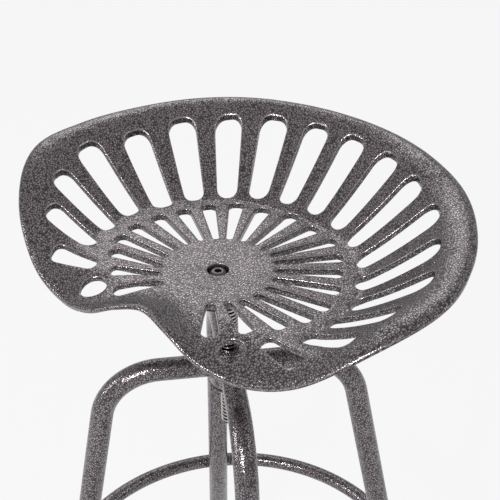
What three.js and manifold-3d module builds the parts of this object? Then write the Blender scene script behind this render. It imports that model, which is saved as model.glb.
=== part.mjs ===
// Tractor seat stool: a pierced cast seat on a threaded spindle, over four bent tube legs and a ring.
// Millimetres. The origin is on the floor under the spindle, +Z is up, and the sitter faces -Y.
import * as THREE from "three";
import { mergeVertices } from "three/addons/utils/BufferGeometryUtils.js";
import Module from "manifold-3d";

const wasm = await Module();
wasm.setup();

// Clearances
const gap = 0.3; // between touching pieces
const threadGap = 0.4; // between the spindle and its bores
const overrun = 2; // how far a cut runs past the face that it starts from

// Seat casting: heights are measured from the flat disc in its middle
const seatHeight = 620; // top of the disc above the floor
const seatHalfWidth = 219.5;
const seatRimHeight = 66; // back rim above the disc
const discThickness = 7;
const wallThickness = 5.3;
const thinStartShare = 0.9; // of the floor's radius, where the casting starts to get thinner
const thinEndShare = 1.15;
const rimEdgeRadius = 3;
const discRadius = 50; // the inner slots start here
const bossRadius = 44;
const bossDepth = 5; // pad under the disc
const boltSetback = 12; // the spindle stands this far behind the centre bolt
const backLipWidth = 15; // nearly level lip between the wall and the edge
const sideLipWidth = 22;
const rimRollWidth = 7; // the edge is rolled over
const rimRollDrop = 3;
const sectorAngle = 6; // degrees between the lofted sections
const castDepth = 2 * seatRimHeight; // more than the casting is high

// Half outline of the rim, every 15 degrees from the back round to the front
const rimRadiusShares = [0.935, 0.944, 0.952, 0.978, 0.989, 1, 1, 0.898, 0.759, 0.626, 0.549, 0.487, 0.453];
const rimHeightShares = [1.015, 1.005, 1.005, 0.955, 0.91, 0.875, 0.8, 0.485, -0.03, -0.22, -0.09, 0.17, 0.3];
const floorRadiusShares = [0.504, 0.52, 0.54, 0.545, 0.57, 0.577, 0.563, 0.55, 0.388, 0.31, 0.27, 0.24, 0.23];
const tableStep = 15;
const lipRiseShare = 0.04; // of the rim's height, that the lip still climbs
const wallPower = 1.18; // the wall steepens a little as it rises
const backCrestShare = 0.1; // of the rim's height, over which the wall rounds into the lip
const sideCrestShare = 0.18;
const frontStartAngle = 92; // the wall fades between these into the drooping front
const frontFullAngle = 122;
const frontCurvePower = 1.8;

// Inner slots, one on the centre line and ten each side: the angle and the radius of each slot's two ends
const innerSlotPairs = 10;
const innerSlotRoot = 50;
const innerSlotTip = 113;
const innerRootAngles = [0, 13.7, 27.2, 40.5, 55, 70.2, 86, 102, 118.9, 132.7, 148.5];
const innerTipAngles = [0, 15.6, 29.7, 43.7, 57, 70.7, 84.8, 96.6, 109.3, 126.2, 145.5];
const innerTipShares = [1, 0.98, 1.005, 0.98, 0.955, 0.967, 0.975, 0.956, 0.897, 0.826, 0.82];
const innerSlotWide = 14.4;
const innerSlotNarrow = 5.8;
const innerWidthShares = [1.05, 1.08, 0.98, 0.94, 0.97, 1.01, 1, 0.99, 1.03, 0.95, 1.15];

// Outer slots, nine pairs, and a round hole beyond them
const outerSlotRoot = 121;
const outerRootAngles = [7.2, 21.1, 34.7, 48.9, 63, 77.7, 91.5, 106, 121.4];
const outerRootShares = [0.993, 1.002, 1.001, 0.999, 0.984, 1.03, 1.002, 0.994, 0.891];
const outerTipAngles = [6.6, 20.7, 35.1, 49.5, 64.1, 79.3, 92.3, 102.9, 116.3];
const outerTipShares = [0.9, 0.898, 0.885, 0.88, 0.864, 0.873, 0.843, 0.844, 0.86]; // of the rim radius
const outerSlotWide = 27.6;
const outerSlotNarrow = 18;
const outerWideShares = [0.974, 1.037, 0.986, 1.018, 1.012, 0.998, 0.846, 0.739, 0.683];
const outerNarrowShares = [0.983, 1.021, 1, 0.989, 1.045, 1.148, 0.977, 1.092, 0.732];

// Corners of both kinds of slot, as shares of the width at that end
const rootCornerShare = 0.45;
const tipCornerShare = 0.4;
const cornerRoundShare = 0.56; // makes a corner's curve look like an arc

const roundHoleRadius = 11.5;
const roundHoleDistance = 108;
const roundHoleAngle = 136;

// Centre bolt in its counterbore
const counterboreRadius = 9.5;
const counterboreDepth = 7;
const centreBoltRadius = 5;
const centreHeadRadius = 8.75;
const centreHeadHeight = 5.5;
const centreSocketRadius = 3.45;
const centreSocketDepth = 3;

// Plate under the seat, with its three bolts
const plateRadius = 38;
const plateThickness = 6;
const plateBoltCount = 3;
const plateBoltCircle = 31;
const plateBoltRadius = 3;
const plateBoltReach = 4.5; // into the seat's pad
const plateBoltHoleDepth = 5.5;
const plateHeadRadius = 5.8; // hexagon, over its corners
const plateHeadHeight = 4;
const washerRadius = 6.5;
const washerThickness = 1.6;

// Threaded spindle, 18 mm across with a 4 mm pitch
const spindleRadius = 9;
const spindleLength = 160;
const spindleChamfer = 1.5;
const spindleCollarRadius = 15;
const spindleCollarHeight = 5;

// Hub in the middle of the legs
const hubRadius = 18;
const hubWall = 3;
const hubLength = 38;
const hubDrop = 92; // hub top below the seat disc
const bushFlangeThickness = 3;
const bushLength = 22;
const guideLength = 12;
const guideFlangeThickness = 2;

// Bent tube legs
const legRadius = 10.65;
const legWall = 1.5;
const legDrop = 111; // centre line of the level run below the seat disc
const legRun = 65; // from the axis to where the bend starts
const bendRadius = 57;
const splayAngle = 10.5;
const legCount = 4;
const legNames = ["leg_rear_right", "leg_front_right", "leg_front_left", "leg_rear_left"];
const footNames = ["foot_rear_right", "foot_front_right", "foot_front_left", "foot_rear_left"];

// Rubber feet
const footWall = 2.5;
const footSole = 5;
const footHeight = 30;
const footLip = 1;

// Footrest ring, welded round the outside of the legs
const ringTubeRadius = 7.5;
const ringHeight = 217;

// How finely round shapes are divided
const legSides = 9; // of each half
const ringSides = 12;
const turnSides = 28;
const smallSides = 16;
const hexSides = 6;
const bendSteps = 8;
const ringSteps = 64;
const innerCornerSteps = 2;
const outerCornerSteps = 4;
const floorRings = 2;
const wallRings = 6;
const lipRings = 2;
const edgeRings = 3;

const turn = 2 * Math.PI;
const toRadians = Math.PI / 180;

const castGrey = { color: 0x5c5659, roughness: 0.42, metalness: 0.55 };
const zincPlate = { color: 0xb9b8b2, roughness: 0.3, metalness: 0.95 };
const darkSteel = { color: 0x4b4a4c, roughness: 0.45, metalness: 0.8 };
const brass = { color: 0xa98f58, roughness: 0.35, metalness: 0.9 };
const nylon = { color: 0x222326, roughness: 0.6, metalness: 0 };
const rubber = { color: 0x1b1b1c, roughness: 0.85, metalness: 0 };

// The solid that a closed three.js geometry bounds.
function solid(geometry) {
  const bare = geometry.index ? geometry.toNonIndexed() : geometry.clone();
  bare.deleteAttribute("normal");
  bare.deleteAttribute("uv");
  const merged = mergeVertices(bare, 1e-4);
  const mesh = new wasm.Mesh({
    numProp: 3,
    vertProperties: merged.attributes.position.array,
    triVerts: new Uint32Array(merged.index.array),
  });
  return new wasm.Manifold(mesh);
}

// A solid's surface as a three.js geometry.
function surface(body) {
  const mesh = body.getMesh();
  const geometry = new THREE.BufferGeometry();
  geometry.setAttribute("position", new THREE.BufferAttribute(new Float32Array(mesh.vertProperties), 3));
  geometry.setIndex(new THREE.BufferAttribute(new Uint32Array(mesh.triVerts), 1));
  geometry.computeVertexNormals();
  return geometry;
}

function piece(name, geometry, finish) {
  const mesh = new THREE.Mesh(geometry, new THREE.MeshStandardMaterial(finish));
  mesh.name = name;
  return mesh;
}

// A body turned about +Z from a closed half profile of [radius, height] pairs, from its lowest point on the
// axis, or round a bore, counter-clockwise.
function turned(profile, sides) {
  const points = profile.map(([radius, height]) => new THREE.Vector2(radius, height));
  return new THREE.LatheGeometry(points, sides).rotateX(Math.PI / 2);
}

// An upright rod of the given radius between two heights, with its axis through (x, y).
function rod(radius, bottom, top, x = 0, y = 0, sides = turnSides) {
  const geometry = new THREE.CylinderGeometry(radius, radius, top - bottom, sides);
  return geometry.rotateX(Math.PI / 2).translate(x, y, (top + bottom) / 2);
}

// Smooth value from a table that runs from the back, at 0 degrees, to the front, at 180, and is mirrored.
function tableValue(shares, angle) {
  const last = shares.length - 1;
  const place = Math.abs(angle) / tableStep;
  const start = Math.min(Math.floor(place), last - 1);
  const at = (index) => shares[index < 0 ? -index : index > last ? 2 * last - index : index];
  const [before, from, to, after] = [at(start - 1), at(start), at(start + 1), at(start + 2)];
  const t = place - start;
  const slopeFrom = (to - before) / 2;
  const slopeTo = (after - from) / 2;
  return (
    (2 * t ** 3 - 3 * t ** 2 + 1) * from +
    (t ** 3 - 2 * t ** 2 + t) * slopeFrom +
    (3 * t ** 2 - 2 * t ** 3) * to +
    (t ** 3 - t ** 2) * slopeTo
  );
}

const rimRadius = (angle) => seatHalfWidth * tableValue(rimRadiusShares, angle);
const rimHeight = (angle) => seatRimHeight * tableValue(rimHeightShares, angle);
const floorRadius = (angle) => seatHalfWidth * tableValue(floorRadiusShares, angle);

function lipWidth(angle) {
  return THREE.MathUtils.lerp(backLipWidth, sideLipWidth, Math.sin(angle * toRadians) ** 2);
}

// The lower of two values, with a parabola between them where they differ by less than the width.
function roundedLower(one, other, width) {
  const share = THREE.MathUtils.clamp(1 / 2 + (other - one) / (2 * width), 0, 1);
  return THREE.MathUtils.lerp(other, one, share) - width * share * (1 - share);
}

// Height of the seat's top face above its disc: level in the middle, then a wall that rises until a nearly
// level lip cuts it off, or at the front a curve that follows the rim down over the thighs and up over the
// pommel. The edge rolls over.
function panHeight(radius, angle) {
  const rim = rimRadius(angle);
  const floor = floorRadius(angle);
  const width = lipWidth(angle);
  const wallShare = Math.max(0, (radius - floor) / (rim - width - floor));
  const wall = (1 - lipRiseShare) * wallShare ** wallPower;
  const lip = 1 - (lipRiseShare * (rim - radius)) / width;
  const crest = THREE.MathUtils.lerp(backCrestShare, sideCrestShare, Math.sin(angle * toRadians) ** 2);
  const share = Math.max(0, (radius - floor) / (rim - floor));
  const front = THREE.MathUtils.smoothstep(Math.abs(angle), frontStartAngle, frontFullAngle);
  const roll = Math.max(0, (radius - rim + rimRollWidth) / rimRollWidth);
  const rise = THREE.MathUtils.lerp(roundedLower(wall, lip, crest), share ** frontCurvePower, front);
  return rimHeight(angle) * rise - rimRollDrop * roll ** 2;
}

// Depth of the casting, measured straight down: it is thicker in the middle, and deeper where it slopes.
function panDepth(radius, angle) {
  const floor = floorRadius(angle);
  const thinning = THREE.MathUtils.smoothstep(radius, floor * thinStartShare, floor * thinEndShare);
  const step = wallThickness / 4;
  const rise = (panHeight(radius + step, angle) - panHeight(radius - step, angle)) / (2 * step);
  return THREE.MathUtils.lerp(discThickness, wallThickness, thinning) * Math.sqrt(1 + rise ** 2);
}

// One section of the casting, from the axis out over the top, round the rim's edge and back underneath.
function panSection(angle) {
  const edge = rimRadius(angle) - rimEdgeRadius;
  const floor = floorRadius(angle);
  const lipStart = rimRadius(angle) - lipWidth(angle);
  const lipEnd = rimRadius(angle) - rimRollWidth;
  const radii = [];
  for (let i = 0; i < floorRings; i++) radii.push(THREE.MathUtils.lerp(discRadius, floor, i / floorRings));
  for (let i = 0; i < wallRings; i++) radii.push(THREE.MathUtils.lerp(floor, lipStart, i / wallRings));
  for (let i = 0; i < lipRings; i++) radii.push(THREE.MathUtils.lerp(lipStart, lipEnd, i / lipRings));
  radii.push(lipEnd, edge);
  const top = radii.map((radius) => [radius, panHeight(radius, angle)]);
  const under = radii.map((radius) => [radius, panHeight(radius, angle) - panDepth(radius, angle)]);
  const [, edgeTop] = top.at(-1);
  const [, edgeUnder] = under.at(-1);
  const middle = (edgeTop + edgeUnder) / 2;
  const half = (edgeTop - edgeUnder) / 2;
  const round = [];
  for (let i = 1; i < edgeRings; i++) {
    const tilt = (Math.PI * i) / edgeRings;
    round.push([edge + rimEdgeRadius * Math.sin(tilt), middle + half * Math.cos(tilt)]);
  }
  return [...top, ...round, ...under.reverse()];
}

// The whole casting before it is pierced: the sections lofted round the axis, with a point at each end of it.
function panBlank() {
  const count = 360 / sectorAngle;
  const points = [0, 0, 0, 0, 0, -discThickness];
  let size = 0;
  for (let i = 0; i < count; i++) {
    const angle = i * sectorAngle <= 180 ? i * sectorAngle : i * sectorAngle - 360;
    const section = panSection(angle);
    size = section.length;
    for (const [radius, height] of section)
      points.push(radius * Math.sin(angle * toRadians), radius * Math.cos(angle * toRadians), height);
  }
  const at = (sector, ring) => 2 + (sector % count) * size + ring;
  const faces = [];
  for (let i = 0; i < count; i++) {
    faces.push(0, at(i + 1, 0), at(i, 0));
    faces.push(1, at(i, size - 1), at(i + 1, size - 1));
    for (let j = 0; j < size - 1; j++) {
      faces.push(at(i, j), at(i + 1, j), at(i, j + 1));
      faces.push(at(i + 1, j), at(i + 1, j + 1), at(i, j + 1));
    }
  }
  const geometry = new THREE.BufferGeometry();
  geometry.setAttribute("position", new THREE.Float32BufferAttribute(points, 3));
  geometry.setIndex(faces);
  return geometry;
}

// Plan position of a point given by its distance from the centre bolt and its angle from the back.
function polar(radius, angle) {
  return new THREE.Vector2(radius * Math.sin(angle * toRadians), radius * Math.cos(angle * toRadians));
}

// Adds to a path a curve that rounds off the given corner and ends at (endX, endY).
function roundCorner(path, cornerX, cornerY, endX, endY) {
  const towards = (from, to) => THREE.MathUtils.lerp(from, to, cornerRoundShare);
  const { x, y } = path.currentPoint;
  const handleX = towards(endX, cornerX);
  const handleY = towards(endY, cornerY);
  path.bezierCurveTo(towards(x, cornerX), towards(y, cornerY), handleX, handleY, endX, endY);
}

// A tapered slot with rounded corners between two points in plan, to be cut straight down through the seat.
function slotCutter(root, tip, narrow, wide, steps) {
  const shape = new THREE.Shape();
  const length = root.distanceTo(tip);
  const rootCorner = narrow * rootCornerShare;
  const tipCorner = wide * tipCornerShare;
  const side = (share) => THREE.MathUtils.lerp(narrow, wide, share) / 2;
  const rootSide = side(rootCorner / length);
  const tipSide = side(1 - tipCorner / length);
  shape.moveTo(-narrow / 2 + rootCorner, 0);
  shape.lineTo(narrow / 2 - rootCorner, 0);
  roundCorner(shape, narrow / 2, 0, rootSide, rootCorner);
  shape.lineTo(tipSide, length - tipCorner);
  roundCorner(shape, wide / 2, length, wide / 2 - tipCorner, length);
  shape.lineTo(-wide / 2 + tipCorner, length);
  roundCorner(shape, -wide / 2, length, -tipSide, length - tipCorner);
  shape.lineTo(-rootSide, rootCorner);
  roundCorner(shape, -narrow / 2, 0, -narrow / 2 + rootCorner, 0);
  const settings = { depth: 2 * castDepth, bevelEnabled: false, curveSegments: steps };
  const cutter = new THREE.ExtrudeGeometry(shape, settings).translate(0, 0, -castDepth);
  const heading = Math.atan2(tip.x - root.x, tip.y - root.y);
  return cutter.rotateZ(-heading).translate(root.x, root.y, 0);
}

function seatCutters() {
  const cutters = [];
  for (let i = -innerSlotPairs; i <= innerSlotPairs; i++) {
    const pair = Math.abs(i);
    const side = Math.sign(i);
    const root = polar(innerSlotRoot, side * innerRootAngles[pair]);
    const tip = polar(innerSlotTip * innerTipShares[pair], side * innerTipAngles[pair]);
    const narrow = innerSlotNarrow * innerWidthShares[pair];
    const wide = innerSlotWide * innerWidthShares[pair];
    cutters.push(slotCutter(root, tip, narrow, wide, innerCornerSteps));
  }
  for (let pair = 0; pair < outerRootAngles.length; pair++) {
    const narrow = outerSlotNarrow * outerNarrowShares[pair];
    const wide = outerSlotWide * outerWideShares[pair];
    const tipAngle = outerTipAngles[pair];
    for (const side of [-1, 1]) {
      const root = polar(outerSlotRoot * outerRootShares[pair], side * outerRootAngles[pair]);
      const tip = polar(rimRadius(tipAngle) * outerTipShares[pair], side * tipAngle);
      cutters.push(slotCutter(root, tip, narrow, wide, outerCornerSteps));
    }
  }
  for (const side of [-1, 1]) {
    const { x, y } = polar(roundHoleDistance, side * roundHoleAngle);
    cutters.push(rod(roundHoleRadius, -castDepth, castDepth, x, y, smallSides));
  }
  return cutters;
}

// Places of the three bolts round the centre bolt, the first straight in front of it.
const plateBoltPlaces = [];
for (let i = 0; i < plateBoltCount; i++) {
  const around = (turn * i) / plateBoltCount;
  plateBoltPlaces.push([plateBoltCircle * Math.sin(around), -plateBoltCircle * Math.cos(around)]);
}
const padFace = -discThickness - bossDepth; // underside of the seat's pad

function seatPan() {
  let body = solid(panBlank());
  body = body.add(solid(rod(bossRadius, padFace, -discThickness / 2)));
  for (const cutter of seatCutters()) body = body.subtract(solid(cutter));
  body = body.subtract(solid(rod(counterboreRadius, -counterboreDepth, overrun)));
  body = body.subtract(solid(rod(centreBoltRadius + gap, padFace - overrun, overrun, 0, 0, smallSides)));
  for (const [x, y] of plateBoltPlaces) {
    const end = padFace + plateBoltHoleDepth;
    body = body.subtract(solid(rod(plateBoltRadius + gap, padFace - overrun, end, x, y, smallSides)));
  }
  return piece("seat_pan", surface(body), castGrey);
}

const plateTop = padFace - gap;
const plateBottom = plateTop - plateThickness;

function mountingPlate() {
  let body = solid(rod(plateRadius, plateBottom, plateTop));
  for (const [x, y] of [[0, 0], ...plateBoltPlaces]) {
    const radius = x || y ? plateBoltRadius + gap : centreBoltRadius + gap;
    body = body.subtract(solid(rod(radius, plateBottom - overrun, plateTop + overrun, x, y, smallSides)));
  }
  return piece("mounting_plate", surface(body), darkSteel);
}

// Button head bolt that sits in the counterbore and ends in the plate.
function centreBolt() {
  const seat = -counterboreDepth + gap;
  const crown = seat + centreHeadHeight;
  const profile = [
    [0, plateBottom + gap],
    [centreBoltRadius, plateBottom + gap],
    [centreBoltRadius, seat],
    [centreHeadRadius, seat],
    [centreHeadRadius, seat + centreHeadHeight * 0.35],
    [centreHeadRadius * 0.85, seat + centreHeadHeight * 0.8],
    [centreHeadRadius * 0.55, crown],
    [0, crown],
  ];
  const socket = rod(centreSocketRadius, crown - centreSocketDepth, crown + overrun, 0, 0, hexSides);
  const body = solid(turned(profile, turnSides)).subtract(solid(socket));
  return piece("centre_bolt", surface(body), zincPlate);
}

const washerTop = plateBottom - gap;
const headTop = washerTop - washerThickness - gap;

function plateWasher(index, x, y) {
  const bottom = washerTop - washerThickness;
  const ring = solid(rod(washerRadius, bottom, washerTop, x, y, smallSides));
  const bore = rod(plateBoltRadius + gap, bottom - overrun, washerTop + overrun, x, y, smallSides);
  return piece("plate_washer_" + index, surface(ring.subtract(solid(bore))), zincPlate);
}

function plateBolt(index, x, y) {
  const head = solid(rod(plateHeadRadius, headTop - plateHeadHeight, headTop, x, y, hexSides));
  const end = padFace + plateBoltReach;
  const shank = rod(plateBoltRadius, headTop - plateHeadHeight / 2, end, x, y, smallSides);
  return piece("plate_bolt_" + index, surface(head.add(solid(shank))), zincPlate);
}

const spindleTop = plateBottom - gap;
const spindleBottom = spindleTop - spindleLength;

// The spindle, with the collar that is welded to the plate.
function spindle() {
  const profile = [
    [0, spindleBottom],
    [spindleRadius - spindleChamfer, spindleBottom],
    [spindleRadius, spindleBottom + spindleChamfer],
    [spindleRadius, spindleTop - spindleCollarHeight],
    [spindleCollarRadius, spindleTop],
    [0, spindleTop],
  ];
  return piece("spindle", turned(profile, turnSides), zincPlate);
}

// The seat and all that turns with it, placed so that the spindle stands on the axis.
const seatGroup = new THREE.Group();
seatGroup.position.set(0, -boltSetback, seatHeight);
seatGroup.add(seatPan(), mountingPlate(), centreBolt());
plateBoltPlaces.forEach(([x, y], i) => seatGroup.add(plateWasher(i + 1, x, y), plateBolt(i + 1, x, y)));
const spindleMesh = spindle();
spindleMesh.position.set(0, 0, seatHeight);

const hubTop = seatHeight - hubDrop;
const hubBottom = hubTop - hubLength;

function hubTube() {
  const profile = [
    [hubRadius - hubWall, hubBottom],
    [hubRadius, hubBottom],
    [hubRadius, hubTop],
    [hubRadius - hubWall, hubTop],
    [hubRadius - hubWall, hubBottom],
  ];
  return piece("hub_tube", turned(profile, turnSides), castGrey);
}

// Flanged bush in one end of the hub; direction is 1 at the top and -1 at the bottom.
function hubBush(name, length, flange, direction, finish) {
  const face = direction > 0 ? hubTop : hubBottom;
  const bore = spindleRadius + threadGap;
  const sleeve = hubRadius - hubWall - gap;
  const profile = [
    [bore, face - direction * length],
    [sleeve, face - direction * length],
    [sleeve, face + direction * gap],
    [hubRadius, face + direction * gap],
    [hubRadius, face + direction * (gap + flange)],
    [bore, face + direction * (gap + flange)],
    [bore, face - direction * length],
  ];
  if (direction < 0) profile.reverse();
  return piece(name, turned(profile, turnSides), finish);
}

const legLevel = seatHeight - legDrop;
const bendAngle = (90 - splayAngle) * toRadians;
const bendEndRadius = legRun + bendRadius * Math.sin(bendAngle);
const bendEndLevel = legLevel - bendRadius * (1 - Math.cos(bendAngle));
const splaySlope = Math.tan(splayAngle * toRadians);
const legReach = (level) => bendEndRadius + (bendEndLevel - level) * splaySlope;
const legEndLevel = footSole;

// Centre line of a leg in its own upright plane: level, round the bend, then straight down and out.
// Its points are spaced by station, not by length, so that the bend has most of them.
class LegLine extends THREE.Curve {
  constructor() {
    super();
    this.stations = [new THREE.Vector3(hubRadius - hubWall / 2 + gap, 0, legLevel)];
    for (let i = 0; i <= bendSteps; i++) {
      const angle = (bendAngle * i) / bendSteps;
      const out = legRun + bendRadius * Math.sin(angle);
      this.stations.push(new THREE.Vector3(out, 0, legLevel - bendRadius * (1 - Math.cos(angle))));
    }
    this.stations.push(new THREE.Vector3(legReach(legEndLevel), 0, legEndLevel));
  }
  getUtoTmapping(share) {
    return share;
  }
  getPoint(share) {
    const place = share * (this.stations.length - 1);
    const start = Math.min(Math.floor(place), this.stations.length - 2);
    return this.stations[start].clone().lerp(this.stations[start + 1], place - start);
  }
}

function ringShape(outer, inner) {
  const shape = new THREE.Shape().absarc(0, 0, outer, 0, turn);
  if (inner) shape.holes.push(new THREE.Path().absarc(0, 0, inner, 0, turn));
  return shape;
}

function legTube(name, around) {
  const line = new LegLine();
  const tube = new THREE.ExtrudeGeometry(ringShape(legRadius, legRadius - legWall), {
    steps: line.stations.length - 1,
    curveSegments: legSides,
    extrudePath: line,
  });
  const hub = rod(hubRadius + gap, hubBottom - hubLength, hubTop + hubLength);
  const body = solid(tube).subtract(solid(hub));
  const mesh = piece(name, surface(body), castGrey);
  mesh.rotation.z = around;
  return mesh;
}

// Rubber cap over the end of a leg, cut flat where it stands on the floor.
function legFoot(name, around) {
  const inner = legRadius + gap;
  const outer = inner + footWall;
  const profile = [
    [0, -2 * footSole],
    [outer, -2 * footSole],
    [outer, footHeight - footLip],
    [outer - footLip, footHeight],
    [inner, footHeight],
    [inner, -gap],
    [0, -gap],
  ];
  const cap = turned(profile, smallSides);
  cap.rotateY(-splayAngle * toRadians).translate(legReach(legEndLevel), 0, legEndLevel);
  const floorBlock = new THREE.BoxGeometry(footHeight * 4, footHeight * 4, footHeight);
  floorBlock.translate(legReach(0), 0, -footHeight / 2);
  const mesh = piece(name, surface(solid(cap).subtract(solid(floorBlock))), rubber);
  mesh.rotation.z = around;
  return mesh;
}

function footrestRing() {
  const radius = legReach(ringHeight) + (legRadius + ringTubeRadius) / Math.cos(splayAngle * toRadians) + gap;
  const ring = new THREE.TorusGeometry(radius, ringTubeRadius, ringSides, ringSteps);
  const mesh = piece("footrest_ring", ring, castGrey);
  mesh.position.z = ringHeight;
  return mesh;
}

const stool = new THREE.Group();
stool.add(seatGroup, spindleMesh, hubTube());
stool.add(hubBush("thread_bush", bushLength, bushFlangeThickness, 1, brass));
stool.add(hubBush("guide_bush", guideLength, guideFlangeThickness, -1, nylon));
for (let i = 0; i < legCount; i++) {
  const around = turn / 8 - (turn * i) / legCount;
  stool.add(legTube(legNames[i], around), legFoot(footNames[i], around));
}
stool.add(footrestRing());

export default stool;
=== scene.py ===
"""Tractor seat stool: a pierced cast seat on a threaded spindle, over four bent tube legs and a footrest.

Lengths are metres and angles degrees, unless a name says otherwise. The stool stands on the floor with its
spindle on the Z axis, and the sitter faces -Y.
"""

import math

import bmesh
import bpy
import numpy as np
from bpy.props import FloatProperty, FloatVectorProperty, IntProperty, PointerProperty
from mathutils import Matrix, Vector
from mathutils.geometry import delaunay_2d_cdt


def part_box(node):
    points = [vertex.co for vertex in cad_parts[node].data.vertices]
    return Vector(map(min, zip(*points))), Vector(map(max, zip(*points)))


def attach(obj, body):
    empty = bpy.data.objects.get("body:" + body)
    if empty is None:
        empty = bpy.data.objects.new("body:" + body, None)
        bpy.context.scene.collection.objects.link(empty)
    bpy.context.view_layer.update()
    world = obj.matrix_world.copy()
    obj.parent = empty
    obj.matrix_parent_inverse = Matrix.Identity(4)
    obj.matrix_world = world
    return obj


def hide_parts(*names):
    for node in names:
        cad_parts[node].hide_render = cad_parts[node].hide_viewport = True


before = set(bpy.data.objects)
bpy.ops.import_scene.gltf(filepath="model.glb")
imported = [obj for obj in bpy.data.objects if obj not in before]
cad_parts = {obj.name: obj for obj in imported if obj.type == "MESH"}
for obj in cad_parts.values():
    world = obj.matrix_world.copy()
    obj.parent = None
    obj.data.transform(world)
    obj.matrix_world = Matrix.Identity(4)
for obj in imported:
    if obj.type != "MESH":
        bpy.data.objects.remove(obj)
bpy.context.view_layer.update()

bl_info = {
    "name": "Tractor seat stool",
    "version": (1, 0, 0),
    "blender": (4, 5, 0),
    "location": "3D View > Sidebar > Stool",
    "description": "Builds a pierced cast seat on its threaded spindle, four legs, a footrest and a studio",
    "category": "Add Mesh",
}

MM = 0.001
WELD = 5e-6  # points closer than this are one point
GAP = 0.3 * MM  # between touching pieces
THREAD_GAP = 0.4 * MM  # between the spindle and its bores

# Half outline of the seat's rim, every TABLE_STEP degrees from the back round to the front, as shares of the
# seat's half width and rim height
TABLE_STEP = 15
RIM_RADIUS_SHARES = (0.935, 0.944, 0.952, 0.978, 0.989, 1, 1, 0.898, 0.759, 0.626, 0.549, 0.487, 0.453)
RIM_HEIGHT_SHARES = (1.015, 1.005, 1.005, 0.955, 0.91, 0.875, 0.8, 0.485, -0.03, -0.22, -0.09, 0.17, 0.3)
FLOOR_RADIUS_SHARES = (0.504, 0.52, 0.54, 0.545, 0.57, 0.577, 0.563, 0.55, 0.388, 0.31, 0.27, 0.24, 0.23)
LIP_RISE_SHARE = 0.04
WALL_POWER = 1.18
BACK_CREST_SHARE = 0.1
SIDE_CREST_SHARE = 0.18
FRONT_START_ANGLE = 92
FRONT_FULL_ANGLE = 122
FRONT_CURVE_POWER = 1.8
THIN_START_SHARE = 0.9  # of the floor's radius, where the casting starts to get thinner
THIN_END_SHARE = 1.15

# Both ends of the inner slots, from the centre line outwards
INNER_ROOT_ANGLES = (0, 13.7, 27.2, 40.5, 55, 70.2, 86, 102, 118.9, 132.7, 148.5)
INNER_TIP_ANGLES = (0, 15.6, 29.7, 43.7, 57, 70.7, 84.8, 96.6, 109.3, 126.2, 145.5)
INNER_TIP_SHARES = (1, 0.98, 1.005, 0.98, 0.955, 0.967, 0.975, 0.956, 0.897, 0.826, 0.82)
INNER_WIDTH_SHARES = (1.05, 1.08, 0.98, 0.94, 0.97, 1.01, 1, 0.99, 1.03, 0.95, 1.15)

# Both ends of the outer slots; the tips are shares of the rim's radius
OUTER_ROOT_ANGLES = (7.2, 21.1, 34.7, 48.9, 63, 77.7, 91.5, 106, 121.4)
OUTER_ROOT_SHARES = (0.993, 1.002, 1.001, 0.999, 0.984, 1.03, 1.002, 0.994, 0.891)
OUTER_TIP_ANGLES = (6.6, 20.7, 35.1, 49.5, 64.1, 79.3, 92.3, 102.9, 116.3)
OUTER_TIP_SHARES = (0.9, 0.898, 0.885, 0.88, 0.864, 0.873, 0.843, 0.844, 0.86)
OUTER_WIDE_SHARES = (0.974, 1.037, 0.986, 1.018, 1.012, 0.998, 0.846, 0.739, 0.683)
OUTER_NARROW_SHARES = (0.983, 1.021, 1, 0.989, 1.045, 1.148, 0.977, 1.092, 0.732)
ROOT_CORNER_SHARE = 0.45  # corners, as shares of a slot's width at that end
TIP_CORNER_SHARE = 0.4
ROUND_SHARE = 0.56  # makes a cubic curve look like an arc
HOLE_ANGLE = 136

# Painted shade in the walls of the holes and a painted highlight on their top edges, by the depth below the
# top face as a share of the casting's depth there: where an effect starts, is full, starts to fade and is
# gone
PAINTED_WALL_SHADE_SHARES = (0.1, 0.2, 0.85, 0.98)
PAINTED_EDGE_HIGHLIGHT_SHARES = (0.002, 0.02, 0.09, 0.15)
# strength of the painted edge highlight, as a multiple of the painted wall shade
EDGE_HIGHLIGHT_WEIGHT = 2.4  # as a multiple of the wall's

# Shares of a turn of the thread, from crest to root and back
THREAD_FLANK_SHARES = (0.32, 0.5, 0.8, 0.98)

LEG_NAMES = ("rear_right", "front_right", "front_left", "rear_left")
LEG_AZIMUTHS = (45, -45, -135, 135)
PLATE_BOLTS = (1, 2, 3)

# Place, width and height, and watts of each lamp
LAMPS = {
    "softbox_front": ((0.44, -1.78, 1.64), (0.3, 0.3), 20),
    "softbox_back": ((-1.33, 1.15, 1.94), (1.2, 0.7), 3.9),
    "strip_left": ((-1.2, -1.35, 1.1), (0.12, 0.9), 6),
    "strip_right": ((1.57, 0.73, 1.62), (0.2, 0.9), 2),
}


def length(name, description, default, **limits):
    """A length that the sidebar shows in the scene's unit."""
    return FloatProperty(name=name, description=description, default=default, unit="LENGTH", precision=5,
                         **limits)


def colour(name, description, default):
    """A colour that the sidebar shows as a swatch; the default is given as an sRGB hex value."""
    return FloatVectorProperty(name=name, description=description, default=linear(default), subtype="COLOR",
                               size=4, min=0, max=1)


def linear(hex_value):
    """Linear RGBA of an sRGB hex value: the low part is a straight line and the rest a power of 2.4."""
    srgb = np.array([int(hex_value[i:i + 2], 16) / 255 for i in (1, 3, 5)])
    rgb = np.where(srgb <= 0.04045, srgb / 12.92, ((srgb + 0.055) / 1.055) ** 2.4)
    return (*rgb.tolist(), 1.0)


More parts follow.
